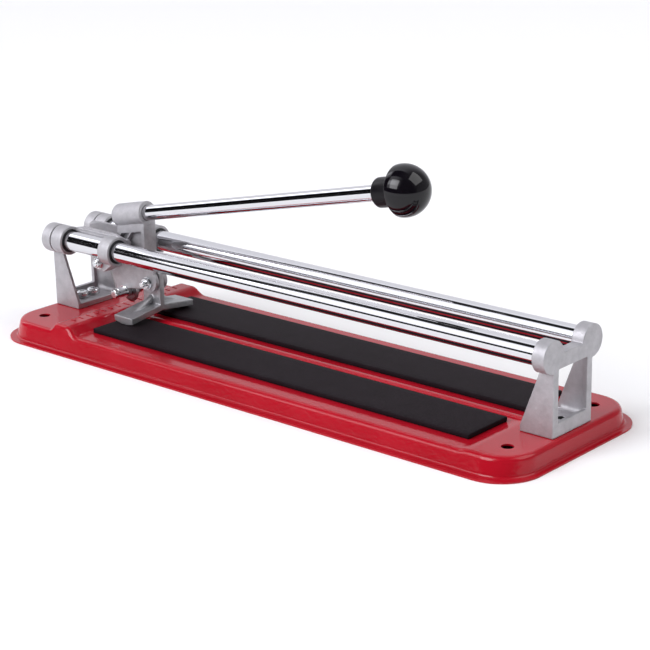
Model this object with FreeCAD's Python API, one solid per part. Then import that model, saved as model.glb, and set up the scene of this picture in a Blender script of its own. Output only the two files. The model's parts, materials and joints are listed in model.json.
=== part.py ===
import FreeCAD, Part
import math
import os

from FreeCAD import Vector

# Rail tile cutter: a pressed steel base carries two chromed rails between two cast brackets.
# A carriage slides along the rails and holds a hinged lever with a scoring wheel and a breaker foot.
# Frame: X runs along the rails, Y across them, Z up. The origin is under the middle of the base.

# ---- driving dimensions (mm) ----
BASE_LENGTH = 514.0
BASE_WIDTH = 164.4
BASE_CORNER_R = 31.5
SHEET = 1.2                      # thickness of the pressed base
PLATFORM_Z = 15.0                # top of the base under the brackets
BED_Z = 13.9                     # top of the base under the pads
STOP_Z = 20.5                    # top of the bead that the tile is pushed against
STOP_BACK_X = -201.0
STOP_FRONT_X = -168.0
BED_END_X = 203.0

RAIL_D = 16.0
RAIL_WALL = 1.5
RAIL_Y = 22.75                   # half the distance between the rail axes
RAIL_Z = 72.5
BRACKET_FACE_X = 247.5           # outer faces of the two brackets
SOCKET_LENGTH = 10.0
SOCKET_R = 11.8
FIT = 0.05                       # radial clearance of a pin or rail in its hole
GAP = 0.3                        # clearance between pieces that move past each other

PAD_THICKNESS = 3.8
PAD_START_X = -168.0
PAD_END_X = 202.0
PAD_INNER_Y = 10.75
PAD_OUTER_Y = 54.6

PIVOT_X = -195.5
PIVOT_Z = 58.5
WHEEL_X = -182.0
WHEEL_Z = 34.0
WHEEL_R = 10.0
FOOT_BOLT_X = -154.0
FOOT_BOLT_Z = 46.0
HANDLE_TILT = math.radians(12.35)
HANDLE_X = -175.0                # a point on the handle's axis
HANDLE_Z = 97.75
KNOB_R = 19.0
KNOB_FROM_PIVOT = 286.0          # knob centre, measured along the handle from that point
LEVER_HALF = 6.5                 # half the thickness of the lever casting
SLOT_HALF = 2.75                 # half the fork's slot
CHEEK_Y = 8.0                    # inner faces of the carriage's cheeks
CHEEK_THICKNESS = 2.9

PIN_R = 2.5                      # M5: pivot bolt, wheel axle and foot bolt
PIN_FLATS = 8.0                  # across the flats of their heads and nuts
SCREW_R = 3.0                    # M6: bracket screws
SCREW_FLATS = 10.0

FAR = 400.0                      # beyond every face, for cutting and clipping tools

Z_AXIS = Vector(0, 0, 1)
Y_AXIS = Vector(0, 1, 0)
X_AXIS = Vector(1, 0, 0)


# ---- small helpers ----
def box(x0, x1, y0, y1, z0, z1):
    return Part.makeBox(x1 - x0, y1 - y0, z1 - z0, Vector(x0, y0, z0))


def cyl_x(x0, x1, y, z, r):
    return Part.makeCylinder(r, x1 - x0, Vector(x0, y, z), X_AXIS)


def cyl_y(x, z, y0, y1, r):
    return Part.makeCylinder(r, y1 - y0, Vector(x, y0, z), Y_AXIS)


def cyl_z(x, y, z0, z1, r):
    return Part.makeCylinder(r, z1 - z0, Vector(x, y, z0), Z_AXIS)


def prism_y(points, y0, y1):
    """Straight-sided outline in XZ, extruded from y0 to y1."""
    corners = [Vector(x, y0, z) for x, z in points]
    face = Part.Face(Part.makePolygon(corners + corners[:1]))
    return face.extrude(Vector(0, y1 - y0, 0))


def joined(shapes):
    """One solid out of overlapping solids."""
    return shapes[0].multiFuse(shapes[1:]).removeSplitter()


def mirror_y(shape):
    return shape.mirror(Vector(0, 0, 0), Y_AXIS)


def mirror_x(shape):
    return shape.mirror(Vector(0, 0, 0), X_AXIS)


def both_sides(shape):
    return [shape, mirror_y(shape)]


def edges_where(shape, test):
    """The edges whose middle point passes the test."""
    chosen = []
    for edge in shape.Edges:
        middle = edge.valueAt((edge.FirstParameter + edge.LastParameter) / 2)
        if test(edge, middle):
            chosen.append(edge)
    return chosen


def rounded_rectangle(half_x, half_y, corner, z):
    """Closed wire of four straight lines and four quarter arcs."""
    edges = []
    for turn in range(4):
        sx, sy = ((1, 1), (-1, 1), (-1, -1), (1, -1))[turn]
        centre = Vector(sx * (half_x - corner), sy * (half_y - corner), z)
        circle = Part.Circle(centre, Z_AXIS, corner)
        start = turn * math.pi / 2
        arc = Part.Arc(circle, start, start + math.pi / 2)
        edges.append(arc.toShape())
    for turn in range(4):
        start = edges[turn].Vertexes[-1].Point
        end = edges[(turn + 1) % 4].Vertexes[0].Point
        edges.append(Part.makeLine(start, end))
    return Part.Wire(Part.__sortEdges__(edges))


def hexagon_y(x, z, y0, y1, across_flats):
    """Hexagonal prism along Y with a flat on top."""
    r = across_flats / math.sqrt(3)
    points = []
    for i in range(6):
        angle = math.radians(60 * i)
        points.append((x + r * math.cos(angle), z + r * math.sin(angle)))
    return prism_y(points, y0, y1)


def crowned(prism, x, z, y0, y1, r, chamfer):
    """Chamfers the outer (low Y) end of a nut or bolt head by a cone."""
    cone = Part.makeCone(r - chamfer, r + (y1 - y0) - chamfer, y1 - y0, Vector(x, y0, z), Y_AXIS)
    return prism.common(cone)


def export(name, shape):
    shape.exportStep("parts/" + name + ".step")
    print(name, "solids", len(shape.Solids), "valid", shape.isValid(), "mm3", round(shape.Volume))


# ---- base ----
WALL_FOOT_Z = -2.0               # the wall's draft is set by two levels, below and above the base
WALL_FOOT = (252.8, 76.6)        # half length and half width of the pressed wall at the lower level
WALL_HEAD_Z = 22.0
WALL_HEAD = (250.6, 70.6)        # and at the upper level
WALL_CORNER = 26.5
RIM_R = 4.0                      # rounding between the wall and the top
MOUNT_X = 230.7
MOUNT_Y = 50.2
MOUNT_R = 4.5
SCREW_X = 234.5
SCREW_Y = 5.8
SCREW_HOLE_R = 3.15              # clearance holes in the base
FLANGE_ROOT_R = 2.0              # rounding between the flange and the wall
STOP_RISE = 8.0                  # length of the slope behind the stop, along X
STOP_FALL = 14.0                 # and in front of it
BED_RISE = 12.0                  # slope from the bed up to the right platform
RIDGE_HALF = 4.5
RIDGE_HEIGHT = 1.7
TICKS = 15
TICK_STEP = 8.0
TICK_BACK_X = -191.5
TICK_SHORT = 5.0
TICK_LONG = 8.0
TICK_HALF = 0.5
TICK_RELIEF = 0.4


def ease(x0, z0, x1, z1):
    """S-shaped step with level ends."""
    middle = (x0 + x1) / 2
    curve = Part.BezierCurve()
    curve.setPoles([Vector(x0, 0, z0), Vector(middle, 0, z0), Vector(middle, 0, z1), Vector(x1, 0, z1)])
    return curve.toShape()


def level(x0, x1, z):
    return Part.makeLine(Vector(x0, 0, z), Vector(x1, 0, z))


def under_top(drop):
    """Everything below the base's top surface lowered by drop."""
    reach = FAR
    platform = PLATFORM_Z - drop
    stop = STOP_Z - drop
    bed = BED_Z - drop
    top = [
        level(-reach, STOP_BACK_X, platform),
        ease(STOP_BACK_X, platform, STOP_BACK_X + STOP_RISE, stop),
        level(STOP_BACK_X + STOP_RISE, STOP_FRONT_X - STOP_FALL, stop),
        ease(STOP_FRONT_X - STOP_FALL, stop, STOP_FRONT_X, bed),
        level(STOP_FRONT_X, BED_END_X, bed),
        ease(BED_END_X, bed, BED_END_X + BED_RISE, platform),
        level(BED_END_X + BED_RISE, reach, platform),
    ]
    floor = -5.0
    sides = [
        Part.makeLine(Vector(reach, 0, platform), Vector(reach, 0, floor)),
        Part.makeLine(Vector(reach, 0, floor), Vector(-reach, 0, floor)),
        Part.makeLine(Vector(-reach, 0, floor), Vector(-reach, 0, platform)),
    ]
    face = Part.Face(Part.Wire(top + sides))
    face.translate(Vector(0, -BASE_WIDTH, 0))
    return face.extrude(Vector(0, 2 * BASE_WIDTH, 0))


def pressed_form(inset):
    """The raised form of the base, its skin moved inwards by inset."""
    wires = []
    for z, (half_x, half_y) in ((WALL_FOOT_Z, WALL_FOOT), (WALL_HEAD_Z, WALL_HEAD)):
        wires.append(rounded_rectangle(half_x - inset, half_y - inset, WALL_CORNER - inset, z))
    column = Part.makeLoft(wires, True, True)
    form = column.common(under_top(inset)).removeSplitter()

    def on_rim(edge, middle):
        inside_x = abs(middle.x) < WALL_HEAD[0] - inset - 3
        inside_y = abs(middle.y) < WALL_HEAD[1] - inset - 1
        return middle.z > BED_Z / 2 and not (inside_x and inside_y)

    return form.makeFillet(RIM_R - inset, edges_where(form, on_rim))


def ridge(drop):
    """Low rounded rib along the middle of the bed, under the scored line."""
    radius = (RIDGE_HALF ** 2 + RIDGE_HEIGHT ** 2) / (2 * RIDGE_HEIGHT)
    centre_z = BED_Z + RIDGE_HEIGHT - radius
    rod = cyl_x(STOP_FRONT_X - 4, BED_END_X + 8, 0, centre_z, radius - drop)
    return rod.common(box(-FAR, FAR, -2 * RIDGE_HALF, 2 * RIDGE_HALF, BED_Z - 3, FAR))


def scale_ticks():
    """Raised marks along the stop for setting the tile."""
    first = -(TICKS - 1) / 2 * TICK_STEP
    ticks = []
    for i in range(TICKS):
        y = first + i * TICK_STEP
        end = TICK_BACK_X + (TICK_LONG if i % 5 == 2 else TICK_SHORT)
        top = STOP_Z + TICK_RELIEF
        ticks.append(box(TICK_BACK_X, end, y - TICK_HALF, y + TICK_HALF, STOP_Z - SHEET / 2, top))
    return ticks


def on_outline(point):
    """True for a point on the outer edge of the flange."""
    from_centre_x = abs(point.x) - BASE_LENGTH / 2 + BASE_CORNER_R
    from_centre_y = abs(point.y) - BASE_WIDTH / 2 + BASE_CORNER_R
    on_side = max(from_centre_x, from_centre_y) > BASE_CORNER_R - 1
    return on_side or math.hypot(from_centre_x, from_centre_y) > BASE_CORNER_R - 1


def pan_holes():
    """Bench holes near the corners and the holes of the bracket screws."""
    holes = []
    for sx in (-1, 1):
        for sy in (-1, 1):
            holes.append(cyl_z(sx * MOUNT_X, sy * MOUNT_Y, 0, FAR, MOUNT_R))
            holes.append(cyl_z(sx * SCREW_X, sy * SCREW_Y, 0, FAR, SCREW_HOLE_R))
    return holes


def base_pan():
    outline = rounded_rectangle(BASE_LENGTH / 2, BASE_WIDTH / 2, BASE_CORNER_R, 0)
    flange = Part.Face(outline).extrude(Vector(0, 0, SHEET))
    raised = pressed_form(0).common(box(-FAR, FAR, -FAR, FAR, 0, FAR))

    def flange_root(edge, middle):
        return abs(middle.z - SHEET) < 0.01 and edge.Length > 20 and not on_outline(middle)

    skin = joined([flange, raised])
    skin = skin.makeFillet(FLANGE_ROOT_R, edges_where(skin, flange_root))
    skin = joined([skin, ridge(0)] + scale_ticks())
    hollow = pressed_form(SHEET).fuse(ridge(SHEET))
    return skin.cut(hollow).cut(pan_holes())


def pad(side):
    low, high = sorted((side * PAD_INNER_Y, side * PAD_OUTER_Y))
    return box(PAD_START_X, PAD_END_X, low, high, BED_Z, BED_Z + PAD_THICKNESS)


# ---- brackets and rails ----
BRACKET_HALF = 22.78
FOOT_INNER_X = 220.4
FOOT_PLATE = 4.5
LEG_THICKNESS = 3.0
FRAME_DEPTH = 3.6                # of the outer frame, along X
FRAME_STRIP = 6.2                # width of its upright strips
FRAME_SILL = 10.0                # height of its lower bar
WEB_LOW_Z = 62.6
WEB_TOP_Z = 73.3
WEB_DEPTH = 9.0                  # of the bar between the sockets, along X
BORE_FLOOR = 2.0
LEG_TOP_X = 235.7                # upper end of the legs' sloping edge
LEG_NECK_X = 237.2               # edge of the narrower neck between the slope and the socket
LEG_TOP_Z = 69.5
LEG_BEND_Z = 60.0
LEG_ROOT_R = 4.0                 # rounding between a leg and the foot plate
SCREW_WASHER = 1.0
SCREW_WASHER_R = 5.6
SCREW_HEAD_R = 5.3
SCREW_HEAD_H = 3.8
SCREW_DOME_R = 2.4
SCREW_NUT_H = 5.0
RECESS_DEPTH = 1.6
RECESS_REACH = 2.4
RECESS_HALF = 0.55


def leg_root():
    """Concave rounding along the inside of the near leg."""
    side_y = -BRACKET_HALF + LEG_THICKNESS
    floor_z = PLATFORM_Z + FOOT_PLATE
    start = FOOT_INNER_X + LEG_ROOT_R
    block = box(start, BRACKET_FACE_X, side_y - 1, side_y + LEG_ROOT_R, floor_z - 1, floor_z + LEG_ROOT_R)
    return block.cut(cyl_x(0, FAR, side_y + LEG_ROOT_R, floor_z + LEG_ROOT_R, LEG_ROOT_R))


def right_bracket():
    """Foot plate, two legs, a frame round the portal and two blind sockets for the rails."""
    face = BRACKET_FACE_X
    frame_x = face - FRAME_DEPTH
    plate = box(FOOT_INNER_X, face, -BRACKET_HALF, BRACKET_HALF, PLATFORM_Z, PLATFORM_Z + FOOT_PLATE)
    sill = box(frame_x, face, -BRACKET_HALF, BRACKET_HALF, PLATFORM_Z, PLATFORM_Z + FRAME_SILL)
    web = box(face - WEB_DEPTH, face, -RAIL_Y, RAIL_Y, WEB_LOW_Z, WEB_TOP_Z)
    leg_outline = [
        (FOOT_INNER_X, PLATFORM_Z),
        (face, PLATFORM_Z),
        (face, LEG_TOP_Z),
        (LEG_NECK_X, LEG_TOP_Z),
        (LEG_NECK_X, LEG_BEND_Z + 0.2),
        (LEG_TOP_X, LEG_BEND_Z),
        (FOOT_INNER_X, PLATFORM_Z + FOOT_PLATE),
    ]
    near = [
        prism_y(leg_outline, -BRACKET_HALF, -BRACKET_HALF + LEG_THICKNESS),
        box(frame_x, face, -BRACKET_HALF, -BRACKET_HALF + FRAME_STRIP, PLATFORM_Z, RAIL_Z),
        cyl_x(face - SOCKET_LENGTH, face, -RAIL_Y, RAIL_Z, SOCKET_R),
        leg_root(),
    ]
    solids = [plate, sill, web]
    for half in near:
        solids += both_sides(half)
    bore = cyl_x(face - SOCKET_LENGTH - 1, face - BORE_FLOOR, -RAIL_Y, RAIL_Z, RAIL_D / 2 + FIT)
    screw_holes = [cyl_z(SCREW_X, s * SCREW_Y, 0, RAIL_Z / 2, SCREW_R + FIT) for s in (-1, 1)]
    return joined(solids).cut(both_sides(bore) + screw_holes)


def rail(side):
    end = BRACKET_FACE_X - BORE_FLOOR - GAP
    outer = cyl_x(-end, end, side * RAIL_Y, RAIL_Z, RAIL_D / 2)
    return outer.cut(cyl_x(-FAR, FAR, side * RAIL_Y, RAIL_Z, RAIL_D / 2 - RAIL_WALL))


def pan_screw(shank_length):
    """Cross-recess pan head screw along Z, its head above Z = 0 and its shank below."""
    head = cyl_z(0, 0, 0, SCREW_HEAD_H, SCREW_HEAD_R)
    head = head.makeFillet(SCREW_DOME_R, edges_where(head, lambda e, m: m.z > SCREW_HEAD_H - 0.1))
    screw = joined([head, cyl_z(0, 0, -shank_length, SCREW_HEAD_H / 2, SCREW_R)])
    low = SCREW_HEAD_H - RECESS_DEPTH
    for half_x, half_y in ((RECESS_REACH, RECESS_HALF), (RECESS_HALF, RECESS_REACH)):
        screw = screw.cut(box(-half_x, half_x, -half_y, half_y, low, FAR))
    return screw


def at_screws(solid, side, z):
    """Two copies of a solid, at the left (-1) or right (1) bracket's screw holes."""
    copies = []
    for s in (-1, 1):
        copy = solid.copy()
        copy.translate(Vector(side * SCREW_X, s * SCREW_Y, z))
        copies.append(copy)
    return Part.makeCompound(copies)


def left_screws():
    seat = PLATFORM_Z + FOOT_PLATE + SCREW_WASHER
    return at_screws(pan_screw(seat - BED_Z / 2), -1, seat)


def left_screw_washers():
    disc = cyl_z(0, 0, 0, SCREW_WASHER, SCREW_WASHER_R)
    return at_screws(disc.cut(cyl_z(0, 0, -1, FAR, SCREW_R + FIT)), -1, PLATFORM_Z + FOOT_PLATE)


def left_screw_nuts():
    nut = hexagon_y(0, 0, 0, SCREW_NUT_H, SCREW_FLATS)
    nut.rotate(Vector(0, 0, 0), X_AXIS, -90)
    return at_screws(nut.cut(cyl_z(0, 0, -FAR, FAR, SCREW_R + FIT)), -1, PLATFORM_Z - SHEET)


def right_screws():
    """The right bracket is screwed from below, so its tapped holes stay open on top."""
    screw = pan_screw(SHEET + FOOT_PLATE - 1.5)
    screw.rotate(Vector(0, 0, 0), X_AXIS, 180)
    return at_screws(screw, 1, PLATFORM_Z - SHEET)


# ---- carriage ----
REAR_SLEEVE = (-236.6, -224.6)
FRONT_SLEEVE = (-181.0, -169.0)
BUSH_R = 9.4
BUSH_INSET = 0.8                 # how far the bushes stand back from the sleeves' ends
SLEEVE_LINK_Y = 16.0             # blocks between the sleeves and the cheeks reach this far out
TOP_RIB_Z = (77.6, 80.0)         # rib along the top, between the two sleeves
EAR_END_Y = 19.5                 # near end of the pivot ear
EAR_TOP_Z = RAIL_Z - RAIL_D / 2 - 0.6
CARRIAGE_TOP = 82.0
CROSSBAR_X = (-224.0, -214.0)
CROSSBAR_Z = (61.5, 70.0)
PIVOT_WASHER = 1.0
PIVOT_WASHER_R = 5.0
PIVOT_SPACER_R = 7.5


def cheek():
    """Near side plate of the carriage, from the rear sleeve to the front one, with its lobe at the pivot."""
    outline = [
        (REAR_SLEEVE[0], 64.5),
        (REAR_SLEEVE[0], 79.0),
        (REAR_SLEEVE[1] + 1.0, CARRIAGE_TOP),
        (FRONT_SLEEVE[0] - 5.0, CARRIAGE_TOP),
        (FRONT_SLEEVE[1], 78.0),
        (FRONT_SLEEVE[1], 63.0),
        (-182.5, 57.5),
        (-190.5, 51.5),
        (-200.5, 51.5),
        (-217.5, 60.5),
    ]
    return prism_y(outline, -CHEEK_Y - CHEEK_THICKNESS, -CHEEK_Y)


def ear():
    """Block under the near rail that carries the end of the pivot bolt."""
    outline = [
        (-206.5, EAR_TOP_Z),
        (-200.5, 55.0),
        (-199.0, 51.5),
        (-190.5, 51.5),
        (-182.5, 57.5),
        (-176.0, 61.5),
        (-176.0, EAR_TOP_Z),
    ]
    return prism_y(outline, -EAR_END_Y, -CHEEK_Y - CHEEK_THICKNESS / 2)


def carriage():
    """One casting: four sleeves on the rails, two cheeks, two pivot ears and a crossbar."""
    inside_y = -CHEEK_Y - CHEEK_THICKNESS / 2
    near = [cheek(), ear()]
    bores = []
    for x0, x1 in (REAR_SLEEVE, FRONT_SLEEVE):
        near.append(cyl_x(x0, x1, -RAIL_Y, RAIL_Z, SOCKET_R))
        near.append(box(x0, x1, -SLEEVE_LINK_Y, inside_y, RAIL_Z - 8.5, RAIL_Z + 7.5))
        bores += both_sides(cyl_x(x0 - 1, x1 + 1, -RAIL_Y, RAIL_Z, BUSH_R))
    near.append(box(REAR_SLEEVE[1] - 1, FRONT_SLEEVE[0] + 1, -SLEEVE_LINK_Y + 0.2, inside_y, *TOP_RIB_Z))
    solids = [box(*CROSSBAR_X, -CHEEK_Y - 1, CHEEK_Y + 1, *CROSSBAR_Z)]
    for half in near:
        solids += both_sides(half)
    pivot_hole = cyl_y(PIVOT_X, PIVOT_Z, -FAR, FAR, PIN_R + FIT)
    return joined(solids).cut(bores + [pivot_hole])


def rail_bush(sleeve, side):
    x0 = sleeve[0] + BUSH_INSET
    x1 = sleeve[1] - BUSH_INSET
    ring = cyl_x(x0, x1, side * RAIL_Y, RAIL_Z, BUSH_R)
    return ring.cut(cyl_x(x0 - 1, x1 + 1, side * RAIL_Y, RAIL_Z, RAIL_D / 2 + FIT))


def bolt_y(x, z, seat_y, tip_y, head_height):
    """Hexagon bolt along Y: head before seat_y, shank on to tip_y."""
    low = seat_y - head_height
    head = hexagon_y(x, z, low, seat_y, PIN_FLATS)
    head = crowned(head, x, z, low, seat_y, PIN_FLATS / math.sqrt(3), 0.9)
    shank = cyl_y(x, z, seat_y - 0.5, tip_y, PIN_R)
    shank = shank.makeChamfer(0.5, edges_where(shank, lambda e, m: abs(m.y - tip_y) < 0.01))
    return joined([head, shank])


def nut_y(x, z, y0, y1, outward):
    """Lock nut along Y with its round collar on the outward (-1 or 1) side."""
    collar = 1.4
    hexagon_ends = (y0 + collar, y1) if outward < 0 else (y0, y1 - collar)
    outer_end = y0 if outward < 0 else y1
    barrel = cyl_y(x, z, y0, y1, PIN_FLATS / 2 - 0.4)
    barrel = barrel.makeFillet(0.7, edges_where(barrel, lambda e, m: abs(m.y - outer_end) < 0.01))
    nut = joined([hexagon_y(x, z, *hexagon_ends, PIN_FLATS), barrel])
    return nut.cut(cyl_y(x, z, -FAR, FAR, PIN_R + FIT))


def ring_y(x, z, y0, y1, r):
    """Washer, spacer or sleeve on one of the M5 pins."""
    return cyl_y(x, z, y0, y1, r).cut(cyl_y(x, z, -FAR, FAR, PIN_R + FIT))


def ring_pair(x, z, y0, y1, r):
    """The same ring on the near and the far side; y0 and y1 are the near one's ends."""
    return Part.makeCompound(both_sides(ring_y(x, z, y0, y1, r)))


def pivot_bolt():
    """Its head is on the far side."""
    seat = EAR_END_Y + PIVOT_WASHER
    return mirror_y(bolt_y(PIVOT_X, PIVOT_Z, -seat, seat + 4.2, 4.0))


def pivot_nut():
    seat = -EAR_END_Y - PIVOT_WASHER
    return nut_y(PIVOT_X, PIVOT_Z, seat - 3.6, seat, -1)


def pivot_washers():
    return ring_pair(PIVOT_X, PIVOT_Z, -EAR_END_Y - PIVOT_WASHER, -EAR_END_Y, PIVOT_WASHER_R)


def pivot_spacers():
    return ring_pair(PIVOT_X, PIVOT_Z, -CHEEK_Y, -LEVER_HALF - GAP, PIVOT_SPACER_R)


# ---- lever ----
PIVOT_BOSS_R = 8.5
FOOT_LUG_R = 9.4
AXLE_LUG_R = 5.6
SOCKET_BACK = -16.5              # ends of the handle socket, along the handle's axis
SOCKET_FRONT = 18.3
HANDLE_SOCKET_R = 9.6
HANDLE_SOCKET_ROUND = 3.5
ROD_R = 6.0
ROD_START = -6.0
KNOB_BACK = 3.5                  # flat back of the knob, behind the ball's centre
NECK_R = 10.9
NECK_REACH = 23.0                # end of the neck, behind the ball's centre
POCKET_Y = 3.0                   # half the web left between the lever's side pockets
FORK_WASHER = 1.0
FORK_WASHER_R = 5.0
WHEEL_HALF = 1.0
WHEEL_BEVEL = 2.2
SLEEVE_END_Y = -14.6             # sleeve and domed head on the near end of the axle
SLEEVE_R = 4.1
AXLE_HEAD = 3.8
AXLE_HEAD_R = 3.8
AXLE_TIP_Y = 13.6
AXLE_NUT = 5.0
FOOT_HEAD = 4.0
FOOT_NUT = 2.7
FOOT_TIP_Y = 13.8                # how far the threaded end stands out on the near side


def handle_point(along):
    return Vector(HANDLE_X + along * math.cos(HANDLE_TILT), 0, HANDLE_Z + along * math.sin(HANDLE_TILT))


def handle_cyl(start, end, r):
    axis = Vector(math.cos(HANDLE_TILT), 0, math.sin(HANDLE_TILT))
    return Part.makeCylinder(r, end - start, handle_point(start), axis)


def handle_end_edges(shape, along, r):
    """The round edge of radius r at one end of a cylinder on the handle's axis."""
    centre = handle_point(along)
    return edges_where(shape, lambda e, m: (m - centre).Length < r + 1)


def lever_outline():
    """Side view of the lever casting below the handle socket."""
    return [
        (-155.5, 96.0),
        (-155.5, 62.0),
        (-147.2, 57.0),
        (-146.2, 46.0),
        (-148.5, 41.8),
        (-191.0, 34.6),
        (-197.5, 52.0),
        (-203.0, 62.0),
        (-200.0, 68.0),
        (-187.0, 83.0),
        (-187.0, 90.0),
    ]


def pockets():
    """Recesses in both sides of the upper arm: one behind the front flange, one above the rear rib."""
    front = [(-159.3, 87.0), (-159.3, 63.0), (-176.0, 63.0), (-176.5, 76.0), (-170.5, 84.4)]
    rear = [(-172.8, 84.0), (-178.8, 76.0), (-186.0, 76.0), (-182.0, 82.0)]
    near = [prism_y(outline, -LEVER_HALF - 1, -POCKET_Y) for outline in (front, rear)]
    return near + [mirror_y(solid) for solid in near]


def fork_slot():
    """The slot that the wheel and the foot's tongue turn in."""
    return [
        cyl_y(FOOT_BOLT_X, FOOT_BOLT_Z, -SLOT_HALF, SLOT_HALF, 15.5),
        cyl_y(WHEEL_X, WHEEL_Z, -SLOT_HALF, SLOT_HALF, WHEEL_R + 2),
        box(WHEEL_X, 0, -SLOT_HALF, SLOT_HALF, 0, FOOT_BOLT_Z),
    ]


def lever_casting():
    """Handle socket on an arm, pivoted at the rear and forked at the bottom."""
    shell = handle_cyl(SOCKET_BACK, SOCKET_FRONT, HANDLE_SOCKET_R)
    shell = shell.makeFillet(HANDLE_SOCKET_ROUND, handle_end_edges(shell, SOCKET_BACK, HANDLE_SOCKET_R))
    body = joined([
        prism_y(lever_outline(), -LEVER_HALF, LEVER_HALF),
        cyl_y(PIVOT_X, PIVOT_Z, -LEVER_HALF, LEVER_HALF, PIVOT_BOSS_R),
        cyl_y(FOOT_BOLT_X, FOOT_BOLT_Z + 1.5, -LEVER_HALF, LEVER_HALF, FOOT_LUG_R),
        cyl_y(WHEEL_X - 0.8, WHEEL_Z, -LEVER_HALF, LEVER_HALF, AXLE_LUG_R),
        shell,
    ])
    cuts = pockets() + fork_slot()
    cuts.append(handle_cyl(ROD_START - 1, SOCKET_FRONT + 1, ROD_R + FIT))
    for x, z in ((PIVOT_X, PIVOT_Z), (WHEEL_X, WHEEL_Z), (FOOT_BOLT_X, FOOT_BOLT_Z)):
        cuts.append(cyl_y(x, z, -FAR, FAR, PIN_R + FIT))
    return body.cut(cuts)


def handle_rod():
    return handle_cyl(ROD_START, KNOB_FROM_PIVOT + 2, ROD_R)


def knob():
    """Ball cut flat at the back, where a short neck leaves it."""
    back = KNOB_FROM_PIVOT - KNOB_BACK
    ball = Part.makeSphere(KNOB_R, handle_point(KNOB_FROM_PIVOT))
    ball = ball.cut(handle_cyl(back - 2 * KNOB_R, back, 2 * KNOB_R))
    ball = ball.makeFillet(0.8, ball.Edges)
    end = KNOB_FROM_PIVOT - NECK_REACH
    neck = handle_cyl(end, back + 2, NECK_R)
    neck = neck.makeFillet(1.5, handle_end_edges(neck, end, NECK_R))
    return joined([ball, neck]).cut(handle_cyl(end - 2, KNOB_FROM_PIVOT + 3, ROD_R + FIT))


def scoring_wheel():
    """Carbide disc with a double bevel, turned about its axle."""
    bore_r = PIN_R + FIT
    flat_r = WHEEL_R - WHEEL_BEVEL
    outline = [
        (bore_r, -WHEEL_HALF),
        (flat_r, -WHEEL_HALF),
        (WHEEL_R, 0),
        (flat_r, WHEEL_HALF),
        (bore_r, WHEEL_HALF),
    ]
    corners = [Vector(WHEEL_X + r, y, WHEEL_Z) for r, y in outline]
    face = Part.Face(Part.makePolygon(corners + corners[:1]))
    return face.revolve(Vector(WHEEL_X, 0, WHEEL_Z), Y_AXIS, 360)


def wheel_spacers():
    return ring_pair(WHEEL_X, WHEEL_Z, -SLOT_HALF, -WHEEL_HALF - GAP, FORK_WASHER_R)


def axle_sleeve():
    return ring_y(WHEEL_X, WHEEL_Z, SLEEVE_END_Y, -LEVER_HALF - FORK_WASHER, SLEEVE_R)


def axle_washers():
    return ring_pair(WHEEL_X, WHEEL_Z, -LEVER_HALF - FORK_WASHER, -LEVER_HALF, FORK_WASHER_R)


def axle_bolt():
    """Axle of the wheel, with a domed head on the near side."""
    low = SLEEVE_END_Y - AXLE_HEAD
    head = cyl_y(WHEEL_X, WHEEL_Z, low, SLEEVE_END_Y, AXLE_HEAD_R)
    head = head.makeFillet(1.4, edges_where(head, lambda e, m: m.y < low + 0.1))
    return joined([head, cyl_y(WHEEL_X, WHEEL_Z, SLEEVE_END_Y - 0.4, AXLE_TIP_Y, PIN_R)])


def axle_nut():
    """Lock nut on the far side of the fork."""
    seat = LEVER_HALF + FORK_WASHER
    return nut_y(WHEEL_X, WHEEL_Z, seat, seat + AXLE_NUT, 1)


def foot_bolt():
    """Its head is on the far side; the threaded end stands out of a thin nut on the near side."""
    return mirror_y(bolt_y(FOOT_BOLT_X, FOOT_BOLT_Z, -LEVER_HALF - FORK_WASHER, FOOT_TIP_Y, FOOT_HEAD))


def foot_washers():
    return ring_pair(FOOT_BOLT_X, FOOT_BOLT_Z, -LEVER_HALF - FORK_WASHER, -LEVER_HALF, FORK_WASHER_R)


def foot_nut():
    seat = -LEVER_HALF - FORK_WASHER
    low = seat - FOOT_NUT
    nut = hexagon_y(FOOT_BOLT_X, FOOT_BOLT_Z, low, seat, PIN_FLATS)
    nut = crowned(nut, FOOT_BOLT_X, FOOT_BOLT_Z, low, seat, PIN_FLATS / math.sqrt(3), 0.6)
    return nut.cut(cyl_y(FOOT_BOLT_X, FOOT_BOLT_Z, -FAR, FAR, PIN_R + FIT))


# ---- breaker foot ----
FOOT_BACK_X = -165.5
FOOT_FRONT_X = -144.6
FOOT_HALF = 33.8                 # half its width across the base
FOOT_THICKNESS = 6.4
FOOT_RISE = 4.3                  # how much higher the middle is than the tips
SOLE_Z = 18.0                    # flat part of the underside, at the tips
SOLE_BACK_X = -157.2             # its ends; towards the edges the underside rises to clear the pads
SOLE_FRONT_X = -151.0
BACK_EDGE_Z = 19.8
FRONT_EDGE_Z = 19.2
TONGUE_HALF = 2.4
TONGUE_BACK_X = -164.0
TONGUE_LOW_Z = 25.0
TONGUE_TOP_Z = 55.6
TONGUE_ROUND = 3.0
RIB_R = 2.5                      # round ribs that run from the tongue down to the wings
RIB_LOW = (24.0, 23.0)           # distance from the middle and height of each end of their axes
RIB_HIGH = (1.0, 33.2)


def foot_wings():
    """Shallow inverted V that presses on both sides of the scored line."""
    tip_top = SOLE_Z + FOOT_THICKNESS
    section = [
        (FOOT_BACK_X, tip_top),
        (FOOT_BACK_X, BACK_EDGE_Z),
        (SOLE_BACK_X, SOLE_Z),
        (SOLE_FRONT_X, SOLE_Z),
        (FOOT_FRONT_X, FRONT_EDGE_Z),
        (FOOT_FRONT_X, tip_top),
    ]
    corners = [Vector(x, -FOOT_HALF, z) for x, z in section]
    face = Part.Face(Part.makePolygon(corners + corners[:1]))
    near = face.extrude(Vector(0, FOOT_HALF, FOOT_RISE))
    return both_sides(near)


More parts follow.
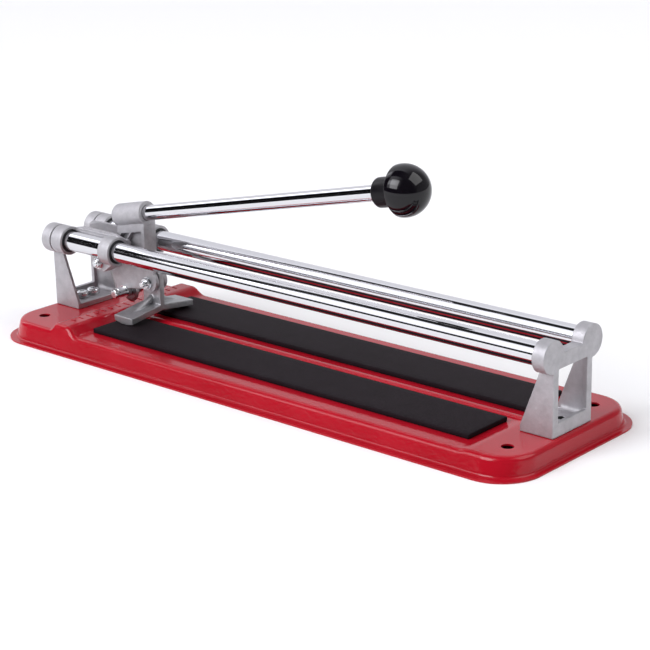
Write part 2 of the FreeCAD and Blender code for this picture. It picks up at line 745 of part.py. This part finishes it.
def foot_rib():
    """Round rib on the near side, from high on the tongue out along the wing."""
    middle = (FOOT_BACK_X + FOOT_FRONT_X) / 2
    low = Vector(middle, -RIB_LOW[0], RIB_LOW[1])
    high = Vector(middle, -RIB_HIGH[0], RIB_HIGH[1])
    return Part.makeCylinder(RIB_R, (high - low).Length, low, high - low)


def breaker_foot():
    """Wings below an upright tongue that swings on the foot bolt inside the fork."""
    tongue = box(TONGUE_BACK_X, FOOT_FRONT_X, -TONGUE_HALF, TONGUE_HALF, TONGUE_LOW_Z, TONGUE_TOP_Z)
    top_edges = edges_where(tongue, lambda e, m: m.z > TONGUE_TOP_Z - 0.1 and abs(m.y) < 0.1)
    tongue = tongue.makeFillet(TONGUE_ROUND, top_edges)
    body = joined(foot_wings() + [tongue] + both_sides(foot_rib()))
    return body.cut(cyl_y(FOOT_BOLT_X, FOOT_BOLT_Z, -FAR, FAR, PIN_R + FIT))


def main():
    os.makedirs("parts", exist_ok=True)
    bracket = right_bracket()
    export("base_pan", base_pan())
    export("near_pad", pad(-1))
    export("far_pad", pad(1))
    export("right_bracket", bracket)
    export("left_bracket", mirror_x(bracket))
    export("near_rail", rail(-1))
    export("far_rail", rail(1))
    export("left_bracket_screws", left_screws())
    export("left_bracket_washers", left_screw_washers())
    export("left_bracket_nuts", left_screw_nuts())
    export("right_bracket_screws", right_screws())

    export("carriage", carriage())
    for side, side_name in ((-1, "near"), (1, "far")):
        export(side_name + "_rear_bush", rail_bush(REAR_SLEEVE, side))
        export(side_name + "_front_bush", rail_bush(FRONT_SLEEVE, side))
    export("pivot_bolt", pivot_bolt())
    export("pivot_nut", pivot_nut())
    export("pivot_washers", pivot_washers())
    export("pivot_spacers", pivot_spacers())

    export("lever_casting", lever_casting())
    export("handle_rod", handle_rod())
    export("knob", knob())
    export("axle_bolt", axle_bolt())
    export("axle_sleeve", axle_sleeve())
    export("axle_washers", axle_washers())
    export("axle_nut", axle_nut())
    export("wheel_spacers", wheel_spacers())
    export("foot_bolt", foot_bolt())
    export("foot_washers", foot_washers())
    export("foot_nut", foot_nut())
    export("scoring_wheel", scoring_wheel())
    export("breaker_foot", breaker_foot())


main()
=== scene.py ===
import json
import math

import bmesh
import bpy
from mathutils import Matrix, Vector, noise


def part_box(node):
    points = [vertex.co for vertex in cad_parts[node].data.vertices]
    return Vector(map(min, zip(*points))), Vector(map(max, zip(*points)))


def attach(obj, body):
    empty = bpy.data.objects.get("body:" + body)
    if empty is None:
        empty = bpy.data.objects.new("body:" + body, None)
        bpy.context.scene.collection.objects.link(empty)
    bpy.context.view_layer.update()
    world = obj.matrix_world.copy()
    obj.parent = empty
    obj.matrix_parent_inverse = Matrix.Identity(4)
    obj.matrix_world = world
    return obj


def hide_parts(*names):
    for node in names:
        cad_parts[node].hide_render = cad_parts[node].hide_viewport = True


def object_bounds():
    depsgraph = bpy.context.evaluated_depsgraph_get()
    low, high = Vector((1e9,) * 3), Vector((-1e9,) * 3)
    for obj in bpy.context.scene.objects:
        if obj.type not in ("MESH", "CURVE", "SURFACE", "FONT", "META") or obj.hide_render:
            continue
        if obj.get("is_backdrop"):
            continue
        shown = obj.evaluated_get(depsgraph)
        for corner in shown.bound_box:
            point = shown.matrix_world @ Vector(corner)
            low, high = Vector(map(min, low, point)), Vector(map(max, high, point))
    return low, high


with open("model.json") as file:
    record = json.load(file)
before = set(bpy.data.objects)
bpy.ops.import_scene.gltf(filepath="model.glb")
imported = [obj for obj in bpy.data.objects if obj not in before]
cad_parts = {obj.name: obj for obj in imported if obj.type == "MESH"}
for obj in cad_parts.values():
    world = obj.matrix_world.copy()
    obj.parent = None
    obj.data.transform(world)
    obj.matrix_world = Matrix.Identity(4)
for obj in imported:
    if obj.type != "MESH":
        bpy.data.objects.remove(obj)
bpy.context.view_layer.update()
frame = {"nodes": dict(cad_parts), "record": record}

# Rail tile cutter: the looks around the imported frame. Metres, +X along the rails, +Z up.
MM = 0.001
NODES = frame["nodes"]
SCENE = bpy.context.scene


# ---- shader helpers ----
def new_material(name, **constants):
    """A principled material; constants are socket names with underscores for spaces."""
    material = bpy.data.materials.new(name)
    material.use_nodes = True
    shader = material.node_tree.nodes["Principled BSDF"]
    for socket, value in constants.items():
        shader.inputs[socket.replace("_", " ")].default_value = value
    return material


def tree_of(material):
    """The nodes and links of a material."""
    return material.node_tree.nodes, material.node_tree.links


def principled(material):
    return material.node_tree.nodes["Principled BSDF"]


def object_place(material, stretch=(1.0, 1.0, 1.0)):
    """Object coordinates in metres, scaled per axis to stretch a pattern."""
    nodes, links = tree_of(material)
    place = nodes.new("ShaderNodeTexCoord")
    mapping = nodes.new("ShaderNodeMapping")
    mapping.inputs["Scale"].default_value = stretch
    links.new(place.outputs["Object"], mapping.inputs["Vector"])
    return mapping.outputs["Vector"]


def noise_field(material, place, size, detail=3.0, roughness=0.5):
    """Noise whose features are about size metres across."""
    nodes, links = tree_of(material)
    field = nodes.new("ShaderNodeTexNoise")
    field.inputs["Scale"].default_value = 1.0 / size
    field.inputs["Detail"].default_value = detail
    field.inputs["Roughness"].default_value = roughness
    links.new(place, field.inputs["Vector"])
    return field.outputs["Fac"]


def cell_field(material, place, size):
    """Distance to the nearest of cells about size metres across."""
    nodes, links = tree_of(material)
    field = nodes.new("ShaderNodeTexVoronoi")
    field.inputs["Scale"].default_value = 1.0 / size
    links.new(place, field.inputs["Vector"])
    return field.outputs["Distance"]


def remap(material, source, from_low, from_high, to_low, to_high):
    """Straight-line map of a field from one range to another, held at its ends."""
    nodes, links = tree_of(material)
    step = nodes.new("ShaderNodeMapRange")
    step.inputs["From Min"].default_value = from_low
    step.inputs["From Max"].default_value = from_high
    step.inputs["To Min"].default_value = to_low
    step.inputs["To Max"].default_value = to_high
    links.new(source, step.inputs["Value"])
    return step.outputs["Result"]


def colours(material, source, stops):
    """Colour ramp with (position, colour) stops."""
    nodes, links = tree_of(material)
    ramp = nodes.new("ShaderNodeValToRGB")
    elements = ramp.color_ramp.elements
    while len(elements) < len(stops):
        elements.new(0.5)
    for element, (position, colour) in zip(elements, stops):
        element.position = position
        element.color = (*colour, 1.0)
    links.new(source, ramp.inputs["Fac"])
    return ramp.outputs["Color"]


def relief(material, layers):
    """Stacks bumps of (height field, depth in metres) and returns the normal."""
    nodes, links = tree_of(material)
    normal = None
    for height, depth in layers:
        bump = nodes.new("ShaderNodeBump")
        bump.inputs["Strength"].default_value = 1.0
        bump.inputs["Distance"].default_value = depth
        links.new(height, bump.inputs["Height"])
        if normal is not None:
            links.new(normal, bump.inputs["Normal"])
        normal = bump.outputs["Normal"]
    return normal


def connect(material, **sources):
    """Feeds sockets of the principled shader, named with underscores for spaces."""
    links = material.node_tree.links
    for socket, source in sources.items():
        links.new(source, principled(material).inputs[socket.replace("_", " ")])


# ---- materials ----
def red_enamel():
    """Glossy stoved enamel on pressed steel, with faint orange peel."""
    material = new_material("red_enamel", Specular_IOR_Level=0.32)
    place = object_place(material)
    cloud = noise_field(material, place, 60 * MM, 4.0)
    peel = noise_field(material, place, 2.6 * MM, 2.0)
    specks = noise_field(material, place, 0.7 * MM, 2.0, 0.7)
    connect(
        material,
        Base_Color=colours(material, cloud, [(0.3, (0.38, 0.004, 0.013)), (0.7, (0.44, 0.007, 0.019))]),
        Roughness=remap(material, specks, 0.3, 0.7, 0.08, 0.16),
        Normal=relief(material, [(peel, 0.09 * MM), (specks, 0.012 * MM)]),
    )
    return material


FOAM_TONES = [(0.25, (0.005, 0.001, 0.003)), (0.6, (0.008, 0.003, 0.006)), (0.9, (0.014, 0.008, 0.011))]


def pad_foam():
    """Closed-cell black foam with a fine open grain and a trace of dust."""
    material = new_material("pad_foam", Specular_IOR_Level=0.2)
    place = object_place(material)
    cells = cell_field(material, place, 0.9 * MM)
    grain = noise_field(material, place, 0.5 * MM, 3.0, 0.7)
    cloud = noise_field(material, place, 18 * MM, 5.0, 0.6)
    connect(
        material,
        Base_Color=colours(material, cloud, FOAM_TONES),
        Roughness=remap(material, grain, 0.3, 0.7, 0.62, 0.86),
        Normal=relief(material, [(cells, 0.10 * MM), (grain, 0.08 * MM)]),
    )
    return material


def cast_metal(name, dark, light, roughness):
    """Blasted casting: fine grain, mottled tone, a few shallow pits."""
    material = new_material(name, Metallic=0.85)
    place = object_place(material)
    mottle = noise_field(material, place, 7 * MM, 6.0, 0.62)
    grain = noise_field(material, place, 0.55 * MM, 3.0, 0.7)
    pits = remap(material, cell_field(material, place, 1.7 * MM), 0.0, 0.25, 0.0, 1.0)
    connect(
        material,
        Base_Color=colours(material, mottle, [(0.3, dark), (0.7, light)]),
        Roughness=remap(material, grain, 0.3, 0.7, roughness - 0.07, roughness + 0.10),
        Normal=relief(material, [(pits, 0.02 * MM), (grain, 0.05 * MM)]),
    )
    return material


def chrome():
    """Bright chrome on drawn tube: faint lengthwise polishing marks."""
    material = new_material("chrome", Metallic=1.0, Base_Color=(0.73, 0.73, 0.755, 1.0))
    drawn = object_place(material, (0.05, 1.0, 1.0))
    smear = noise_field(material, object_place(material), 25 * MM, 5.0, 0.6)
    marks = noise_field(material, drawn, 0.5 * MM, 3.0, 0.6)
    connect(
        material,
        Roughness=remap(material, smear, 0.35, 0.75, 0.035, 0.085),
        Normal=relief(material, [(marks, 0.0003 * MM)]),
    )
    return material


def plated_steel():
    """Bright zinc plate on turned and pressed fasteners."""
    material = new_material("plated_steel", Metallic=1.0)
    place = object_place(material)
    cloud = noise_field(material, place, 3 * MM, 4.0, 0.6)
    grain = noise_field(material, place, 0.35 * MM, 2.0, 0.6)
    connect(
        material,
        Base_Color=colours(material, cloud, [(0.3, (0.62, 0.63, 0.65)), (0.7, (0.80, 0.81, 0.82))]),
        Roughness=remap(material, cloud, 0.3, 0.7, 0.12, 0.27),
        Normal=relief(material, [(grain, 0.008 * MM)]),
    )
    return material


def knob_plastic(name, low, high, shine):
    """Moulded black phenolic; low and high are the ends of its roughness."""
    material = new_material(name, Base_Color=(0.004, 0.003, 0.005, 1.0), Specular_IOR_Level=shine)
    place = object_place(material)
    smear = noise_field(material, place, 9 * MM, 5.0, 0.65)
    ripple = noise_field(material, place, 4 * MM, 2.0)
    grain = noise_field(material, place, 0.5 * MM, 2.0)
    connect(
        material,
        Roughness=remap(material, smear, 0.3, 0.75, low, high),
        Normal=relief(material, [(ripple, 0.004 * MM), (grain, 0.05 * MM * low)]),
    )
    return material


def bush_plastic():
    """Black nylon, lightly scuffed by the rail."""
    material = new_material("bush_plastic", Base_Color=(0.012, 0.012, 0.014, 1.0))
    place = object_place(material)
    grain = noise_field(material, place, 0.4 * MM, 3.0, 0.6)
    connect(
        material,
        Roughness=remap(material, grain, 0.3, 0.7, 0.40, 0.62),
        Normal=relief(material, [(grain, 0.02 * MM)]),
    )
    return material


def wheel_carbide():
    """Ground carbide, darker than steel."""
    material = new_material("wheel_carbide", Metallic=1.0)
    place = object_place(material, (1.0, 6.0, 1.0))
    lines = noise_field(material, place, 0.6 * MM, 4.0, 0.7)
    connect(
        material,
        Base_Color=colours(material, lines, [(0.3, (0.17, 0.17, 0.18)), (0.7, (0.30, 0.30, 0.31))]),
        Roughness=remap(material, lines, 0.3, 0.7, 0.20, 0.38),
        Normal=relief(material, [(lines, 0.01 * MM)]),
    )
    return material


MATERIALS = {
    "red_enamel": red_enamel(),
    "pad_foam": pad_foam(),
    "cast_aluminium": cast_metal("cast_aluminium", (0.43, 0.42, 0.44), (0.54, 0.53, 0.55), 0.56),
    "foot_casting": cast_metal("foot_casting", (0.36, 0.36, 0.375), (0.47, 0.47, 0.485), 0.44),
    "chrome": chrome(),
    "plated_steel": plated_steel(),
    "knob_plastic": knob_plastic("knob_plastic", 0.03, 0.10, 0.38),
    "bush_plastic": bush_plastic(),
    "wheel_carbide": wheel_carbide(),
}
NECK_MATERIAL = knob_plastic("knob_neck", 0.25, 0.45, 0.18)
# Near-black material put on the screw holes' inner faces as painted shade.
HOLE_PAINTED_SHADE = new_material("painted_shade_hole", Base_Color=(0.004, 0.004, 0.004, 1.0), Roughness=0.6)
SLOT_OF = {row["node"]: row["material_slot"] for row in frame["record"]["subparts"]}
BODY_OF = {node: body for body, nodes in frame["record"]["behaviour"]["bodies"].items() for node in nodes}


def dress_cad_nodes():
    """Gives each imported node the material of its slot."""
    for name, node in NODES.items():
        node.data.materials.clear()
        node.data.materials.append(MATERIALS[SLOT_OF[name]])


def stand_in(name, mesh, *nodes):
    """A new piece that stands for CAD nodes of one body and one slot."""
    piece = bpy.data.objects.new(name, mesh)
    SCENE.collection.objects.link(piece)
    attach(piece, BODY_OF[nodes[0]])
    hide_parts(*nodes)
    return piece


# ---- castings with rounded edges ----
SHARP = math.radians(32)
CAST_VOXEL = 0.4 * MM
CAST_SMOOTHING = 4               # rounds of smoothing, which set the edges' radius
CAST_WAVE = 2.4 * MM             # size of the skin's unevenness
CAST_SINK = 0.20 * MM            # its depth, all of it inwards
SCREW_X = 234.5 * MM             # tapped holes in the brackets' feet
SCREW_Y = 5.8 * MM
SCREW_R = 3.2 * MM               # just outside the holes' walls
FOOT_TOP_Z = 19.3 * MM


def finished_mesh(form, name, material):
    """Mesh with smooth faces and hard edges only where the form is really sharp."""
    for face in form.faces:
        face.smooth = True
    for edge in form.edges:
        edge.smooth = not (len(edge.link_faces) == 2 and edge.calc_face_angle(0.0) > SHARP)
    mesh = bpy.data.meshes.new(name)
    form.to_mesh(mesh)
    form.free()
    mesh.materials.append(material)
    return mesh


def evaluated_copy(source, name, modifiers):
    """A mesh made from source by a stack of (type, settings) modifiers."""
    work = bpy.data.objects.new(name + "_work", source)
    SCENE.collection.objects.link(work)
    for kind, settings in modifiers:
        modifier = work.modifiers.new(kind, kind)
        for key, value in settings.items():
            setattr(modifier, key, value)
    depsgraph = bpy.context.evaluated_depsgraph_get()
    mesh = bpy.data.meshes.new_from_object(work.evaluated_get(depsgraph))
    mesh.name = name
    bpy.data.objects.remove(work)
    return mesh


def casting_waves():
    """Procedural clouds that give a casting its uneven skin."""
    waves = bpy.data.textures.new("casting_waves", "CLOUDS")
    waves.noise_scale = CAST_WAVE
    waves.noise_depth = 3
    return waves


def rounded_casting(node, waves):
    """The CAD form with every edge and inner corner rounded and uneven, as a casting's are."""
    name = node + "_casting"
    mesh = evaluated_copy(
        NODES[node].data, name,
        [
            ("REMESH", {"mode": "VOXEL", "voxel_size": CAST_VOXEL}),
            ("SMOOTH", {"factor": 0.5, "iterations": CAST_SMOOTHING}),
            ("DISPLACE", {"texture": waves, "strength": CAST_SINK, "mid_level": 1.0}),
        ],
    )
    mesh.materials.clear()
    mesh.materials.append(MATERIALS[SLOT_OF[node]])
    mesh.shade_smooth()
    return stand_in(name, mesh, node)


def paint_shade_in_holes(piece):
    """Paints shade inside the screw holes of a bracket's foot: the faces there get a near-black material as
    painted shade.
    """
    piece.data.materials.append(HOLE_PAINTED_SHADE)
    for face in piece.data.polygons:
        # Faces inside a screw hole, below the foot's top, get the painted shade.
        offset = math.hypot(abs(face.center.x) - SCREW_X, abs(face.center.y) - SCREW_Y)
        if offset < SCREW_R and face.center.z < FOOT_TOP_Z:
            face.material_index = 1


# ---- foam pads ----
PAD_EDGE = 0.8 * MM
PAD_CELL = 6 * MM                # size of the mesh's cells
PAD_WAVE = 0.12 * MM             # depth and size of the unevenness
PAD_WAVE_SIZE = 22 * MM
CUT_TOLERANCE = 1e-7             # metres


def foam_pad(node):
    """Strip of foam with softened, slightly uneven cut edges."""
    low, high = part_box(node)
    centre = (low + high) / 2
    size = high - low
    form = bmesh.new()
    bmesh.ops.create_cube(form, size=1.0, matrix=Matrix.Translation(centre) @ Matrix.Diagonal((*size, 1.0)))
    bmesh.ops.bevel(
        form, geom=form.edges[:], offset=PAD_EDGE, offset_type="OFFSET", segments=3, profile=0.5,
        affect="EDGES", clamp_overlap=True,
    )
    for axis, steps in ((0, round(size.x / PAD_CELL)), (1, round(size.y / PAD_CELL))):
        for i in range(1, steps):
            point = low.copy()
            point[axis] += size[axis] * i / steps
            normal = Vector((0.0, 0.0, 0.0))
            normal[axis] = 1.0
            geometry = form.verts[:] + form.edges[:] + form.faces[:]
            bmesh.ops.bisect_plane(
                form, geom=geometry, dist=CUT_TOLERANCE, plane_co=point, plane_no=normal,
            )
    for vert in form.verts:
        wave = noise.noise_vector(vert.co / PAD_WAVE_SIZE) * PAD_WAVE
        inward = (centre - vert.co).normalized()
        vert.co += inward * (wave.length * 0.5)
        if vert.co.z > centre.z:
            vert.co.z -= abs(wave.z) * 0.5
    piece = stand_in(node + "_foam", finished_mesh(form, node + "_foam", MATERIALS["pad_foam"]), node)
    return piece


# ---- knob ----
KNOB_TURNS = 96                  # faces round the knob
BALL_STEPS = 44                  # and along the ball's outline
ROUND_STEPS = 6                  # and along a small round
BALL_R = 19.0 * MM
BALL_TIP = 0.02                  # radians left open at the tip, closed by one small face
BALL_BACK = 3.5 * MM             # flat back of the ball, behind its centre
BALL_ROUND = 0.8 * MM            # round of the lip between ball and back
LIP_SWELL = 0.05                 # radians of the ball that run into the lip
LIP_START = 1.35                 # direction in radians from which the lip's round starts
LIP_INSET = 1.15                 # depth of the round's centre, as a share of the round
NECK_STEP = 0.3 * MM             # small chamfer between back and neck
NECK_R = 10.9 * MM
NECK_END = 23.0 * MM             # end of the neck, behind the ball's centre
NECK_ROUND = 1.5 * MM
BORE_R = 6.2 * MM
ROD_R = 6.0 * MM
TILT_ROUNDS = 20                 # enough for the tilt to settle


def handle_axis():
    """Unit direction from the lever towards the knob, from the box round the tilted rod."""
    low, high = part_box("handle_rod")
    run = high - low
    tilt = math.atan2(run.z, run.x)
    for _ in range(TILT_ROUNDS):
        tilt = math.atan2(run.z - 2 * ROD_R * math.cos(tilt), run.x - 2 * ROD_R * math.sin(tilt))
    return Vector((math.cos(tilt), 0.0, math.sin(tilt)))


def arc_points(centre, radius, start, end, steps):
    """Points (along, out) on an arc; angles from the forward direction."""
    points = []
    for i in range(steps + 1):
        angle = start + (end - start) * i / steps
        points.append((centre[0] + radius * math.cos(angle), centre[1] + radius * math.sin(angle)))
    return points


def lathe(form, outline, centre, axis):
    """Turns an outline of (along, out) points about an axis; returns its rings and strips of faces."""
    side = Vector((0.0, 1.0, 0.0))
    up = axis.cross(side).normalized()
    rings = []
    for along, out in outline:
        ring = []
        for i in range(KNOB_TURNS):
            angle = 2 * math.pi * i / KNOB_TURNS
            spoke = side * math.cos(angle) + up * math.sin(angle)
            ring.append(form.verts.new(centre + axis * along + spoke * out))
        rings.append(ring)
    strips = []
    for first, second in zip(rings, rings[1:]):
        strip = []
        for i in range(KNOB_TURNS):
            j = (i + 1) % KNOB_TURNS
            strip.append(form.faces.new((first[i], first[j], second[j], second[i])))
        strips.append(strip)
    return rings, strips


def ball_outline():
    """The ball from its tip to its back, with the round of its lip."""
    rim = math.acos(-BALL_BACK / BALL_R)
    lip = (-BALL_BACK + BALL_ROUND, BALL_R * math.sin(rim) - BALL_ROUND * LIP_INSET)
    outline = arc_points((0.0, 0.0), BALL_R, BALL_TIP, rim - LIP_SWELL, BALL_STEPS)
    return outline + arc_points(lip, BALL_ROUND, LIP_START, math.pi, ROUND_STEPS)


def neck_outline():
    """The neck from the ball's back to its end on the rod."""
    round_centre = (-NECK_END + NECK_ROUND, NECK_R - NECK_ROUND)
    outline = [(-BALL_BACK, NECK_R + NECK_STEP), (-BALL_BACK - NECK_STEP, NECK_R)]
    outline += arc_points(round_centre, NECK_ROUND, math.pi / 2, math.pi, ROUND_STEPS)
    return outline + [(-NECK_END, BORE_R)]


def knob():
    """Polished ball with a flat back, a fine lip, and a satin neck on the rod."""
    axis = handle_axis()
    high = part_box("knob")[1]
    centre = Vector((high.x - BALL_R, 0.0, high.z - BALL_R))
    ball = ball_outline()
    outline = ball + neck_outline()
    form = bmesh.new()
    rings, strips = lathe(form, outline, centre, axis)
    form.faces.new(rings[0])
    form.faces.new(reversed(rings[-1]))
    for strip in strips[len(ball):]:
        for face in strip:
            face.material_index = 1
    bmesh.ops.recalc_face_normals(form, faces=form.faces)
    mesh = finished_mesh(form, "knob_ball", MATERIALS["knob_plastic"])
    mesh.materials.append(NECK_MATERIAL)
    return stand_in("knob_ball", mesh, "knob")


# ---- stage ----
CAMERA_PLACE = Vector((0.91767, -1.00112, 0.48098))
CAMERA_YAW = 0.7266              # radians: turned left from +Y
CAMERA_PITCH = 0.3144            # tipped down
CAMERA_ROLL = -0.0208
CAMERA_LENS = 105.73             # mm, on the sensor below
CAMERA_SENSOR = 36.0
CAMERA_NEAR = 0.05
CAMERA_FAR = 200.0


def camera():
    """Long lens, from the right of the front and a little above."""
    forward = Vector((
        -math.sin(CAMERA_YAW) * math.cos(CAMERA_PITCH),
        math.cos(CAMERA_YAW) * math.cos(CAMERA_PITCH),
        -math.sin(CAMERA_PITCH),
    ))
    level = Vector((math.cos(CAMERA_YAW), math.sin(CAMERA_YAW), 0.0))
    upright = level.cross(forward)
    right = level * math.cos(CAMERA_ROLL) + upright * math.sin(CAMERA_ROLL)
    up = upright * math.cos(CAMERA_ROLL) - level * math.sin(CAMERA_ROLL)
    data = bpy.data.cameras.new("camera")
    data.lens = CAMERA_LENS
    data.sensor_width = CAMERA_SENSOR
    data.clip_start = CAMERA_NEAR
    data.clip_end = CAMERA_FAR
    view = bpy.data.objects.new("camera", data)
    SCENE.collection.objects.link(view)
    turn = Matrix((right, up, -forward)).transposed().to_4x4()
    view.matrix_world = Matrix.Translation(CAMERA_PLACE) @ turn
    SCENE.camera = view


REAR_PLACE = (4.7, 2.4, 6.0)
REAR_SIZE = (6.8, 5.6)
REAR_RADIANCE = 2.3
KEY_X = -1.6
KEY_ANGLE = 36.0                 # degrees up from the front
KEY_DISTANCE = 6.5
KEY_SIZE = (4.4, 4.2)
KEY_RADIANCE = 4.6
KEY_TINT = (0.97, 0.97, 1.0)
WHITE = (1.0, 1.0, 1.0)


def softbox(name, place, aim, size, radiance, tint):
    """Rectangular light, its width level; radiance is its brightness as seen in a mirror."""
    width, height = size
    data = bpy.data.lights.new(name, "AREA")
    data.shape = "RECTANGLE"
    data.size = width
    data.size_y = height
    data.energy = radiance * math.pi * width * height
    data.color = tint
    light = bpy.data.objects.new(name, data)
    SCENE.collection.objects.link(light)
    light.location = place
    light.rotation_euler = (Vector(aim) - Vector(place)).to_track_quat("-Z", "Y").to_euler()


def key_light():
    """Softbox in front, level with the rails and square to them."""
    turn = math.radians(KEY_ANGLE)
    place = (KEY_X, -KEY_DISTANCE * math.cos(turn), KEY_DISTANCE * math.sin(turn))
    softbox("key", place, (KEY_X, 0.0, 0.0), KEY_SIZE, KEY_RADIANCE, KEY_TINT)


FLOOR_R = 60.0
FLOOR_SIDES = 64
FLOOR_DROP = 0.02 * MM           # gap under the flange, so the two faces don't meet
FLOOR_GREY = (0.95, 0.95, 0.95, 1.0)


def floor():
    """Plain pale sweep under the object."""
    form = bmesh.new()
    bmesh.ops.create_circle(form, cap_ends=True, segments=FLOOR_SIDES, radius=FLOOR_R)
    mesh = bpy.data.meshes.new("floor")
    form.to_mesh(mesh)
    form.free()
    ground = bpy.data.objects.new("floor", mesh)
    SCENE.collection.objects.link(ground)
    ground.location.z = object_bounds()[0].z - FLOOR_DROP
    mesh.materials.append(
        new_material("floor", Roughness=0.9, Specular_IOR_Level=0.1, Base_Color=FLOOR_GREY)
    )
    ground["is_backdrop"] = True


# The studio walls, as (angle in degrees up from the front, brightness). A white panel with a bright
# core stands on the left, with a dark gap below it and another above it, and a grey ceiling over both.
PANEL_FOOT = [
    (0, 0.01), (15, 0.01), (18, 1.3), (29, 1.3), (33, 4.3), (46, 4.3), (50, 1.3), (180, 1.3),
]
PANEL_TOP = [(0, 1.0), (64, 1.0), (66, 0.015), (94, 0.015), (97, 0.88), (113, 0.70), (180, 0.62)]
RIGHT_WALL = [(0, 0.04), (65, 0.06), (90, 0.18), (130, 0.28), (180, 0.34)]
HALF_TURN = 180.0
WALL_BLUE = 1.03                 # the walls are this much bluer than grey
# Each pair below is a range of the direction's X part, and what an angle gains over that range.
GAP_SLANT = ((-0.695, -0.635), (30.0, -2.0))
PANEL_END = ((-0.712, -0.700), (-50.0, 0.0))
LEFT_TO_RIGHT = ((-0.3, 0.3), (0.0, 1.0))


def wall_ramp(nodes, links, angle, stops):
    """Grey ramp over an angle in degrees from 0 to 180."""
    share = world_maths(nodes, links, "DIVIDE", angle, HALF_TURN)
    ramp = nodes.new("ShaderNodeValToRGB")
    elements = ramp.color_ramp.elements
    while len(elements) < len(stops):
        elements.new(0.5)
    for element, (degrees, value) in zip(elements, stops):
        element.position = degrees / HALF_TURN
        element.color = (value, value, value * WALL_BLUE, 1.0)
    links.new(share, ramp.inputs["Fac"])
    return ramp.outputs["Color"]


def world_range(nodes, links, source, ranges, kind="LINEAR"):
    """Map of a world field from the first range to the second."""
    step = nodes.new("ShaderNodeMapRange")
    step.interpolation_type = kind
    (low, high), (to_low, to_high) = ranges
    step.inputs["From Min"].default_value = low
    step.inputs["From Max"].default_value = high
    step.inputs["To Min"].default_value = to_low
    step.inputs["To Max"].default_value = to_high
    links.new(source, step.inputs["Value"])
    return step.outputs["Result"]


def world_maths(nodes, links, operation, first, second):
    """One sum on two fields or numbers."""
    step = nodes.new("ShaderNodeMath")
    step.operation = operation
    for socket, value in zip(step.inputs, (first, second)):
        if isinstance(value, (int, float)):
            socket.default_value = value
        else:
            links.new(value, socket)
    return step.outputs["Value"]


def world_light():
    """Studio walls by the angle about the rails, mixed from a left wall to a right one."""
    world = bpy.data.worlds.new("studio")
    SCENE.world = world
    world.use_nodes = True
    nodes = world.node_tree.nodes
    links = world.node_tree.links
    place = nodes.new("ShaderNodeTexCoord")
    split = nodes.new("ShaderNodeSeparateXYZ")
    links.new(place.outputs["Generated"], split.inputs["Vector"])
    along = split.outputs["X"]
    front = world_maths(nodes, links, "MULTIPLY", split.outputs["Y"], -1.0)
    radians = world_maths(nodes, links, "ARCTAN2", split.outputs["Z"], front)
    degrees = world_maths(nodes, links, "MULTIPLY", radians, HALF_TURN / math.pi)
    angle = world_maths(nodes, links, "ABSOLUTE", degrees, 0.0)
    above_gap = world_maths(nodes, links, "ADD", angle, world_range(nodes, links, along, GAP_SLANT))
    past_end = world_maths(nodes, links, "ADD", angle, world_range(nodes, links, along, PANEL_END))
    left = nodes.new("ShaderNodeVectorMath")
    left.operation = "MULTIPLY"
    links.new(wall_ramp(nodes, links, past_end, PANEL_FOOT), left.inputs[0])
    links.new(wall_ramp(nodes, links, above_gap, PANEL_TOP), left.inputs[1])
    mixed = nodes.new("ShaderNodeMix")
    mixed.data_type = "RGBA"
    factor, first, second = mixed.inputs[0], mixed.inputs[6], mixed.inputs[7]
    links.new(world_range(nodes, links, along, LEFT_TO_RIGHT, "SMOOTHSTEP"), factor)
    links.new(left.outputs["Vector"], first)
    links.new(wall_ramp(nodes, links, angle, RIGHT_WALL), second)
    links.new(mixed.outputs[2], nodes["Background"].inputs["Color"])


def studio():
    """Walls, floor and two softboxes."""
    SCENE.view_settings.view_transform = "Standard"
    world_light()
    floor()
    key_light()
    softbox("rear", REAR_PLACE, (0.0, 0.0, 0.0), REAR_SIZE, REAR_RADIANCE, WHITE)


camera()
dress_cad_nodes()
skin = casting_waves()
for casting in ("carriage", "lever_casting", "breaker_foot"):
    rounded_casting(casting, skin)
for bracket in ("left_bracket", "right_bracket"):
    paint_shade_in_holes(rounded_casting(bracket, skin))
foam_pad("near_pad")
foam_pad("far_pad")
knob()
studio()
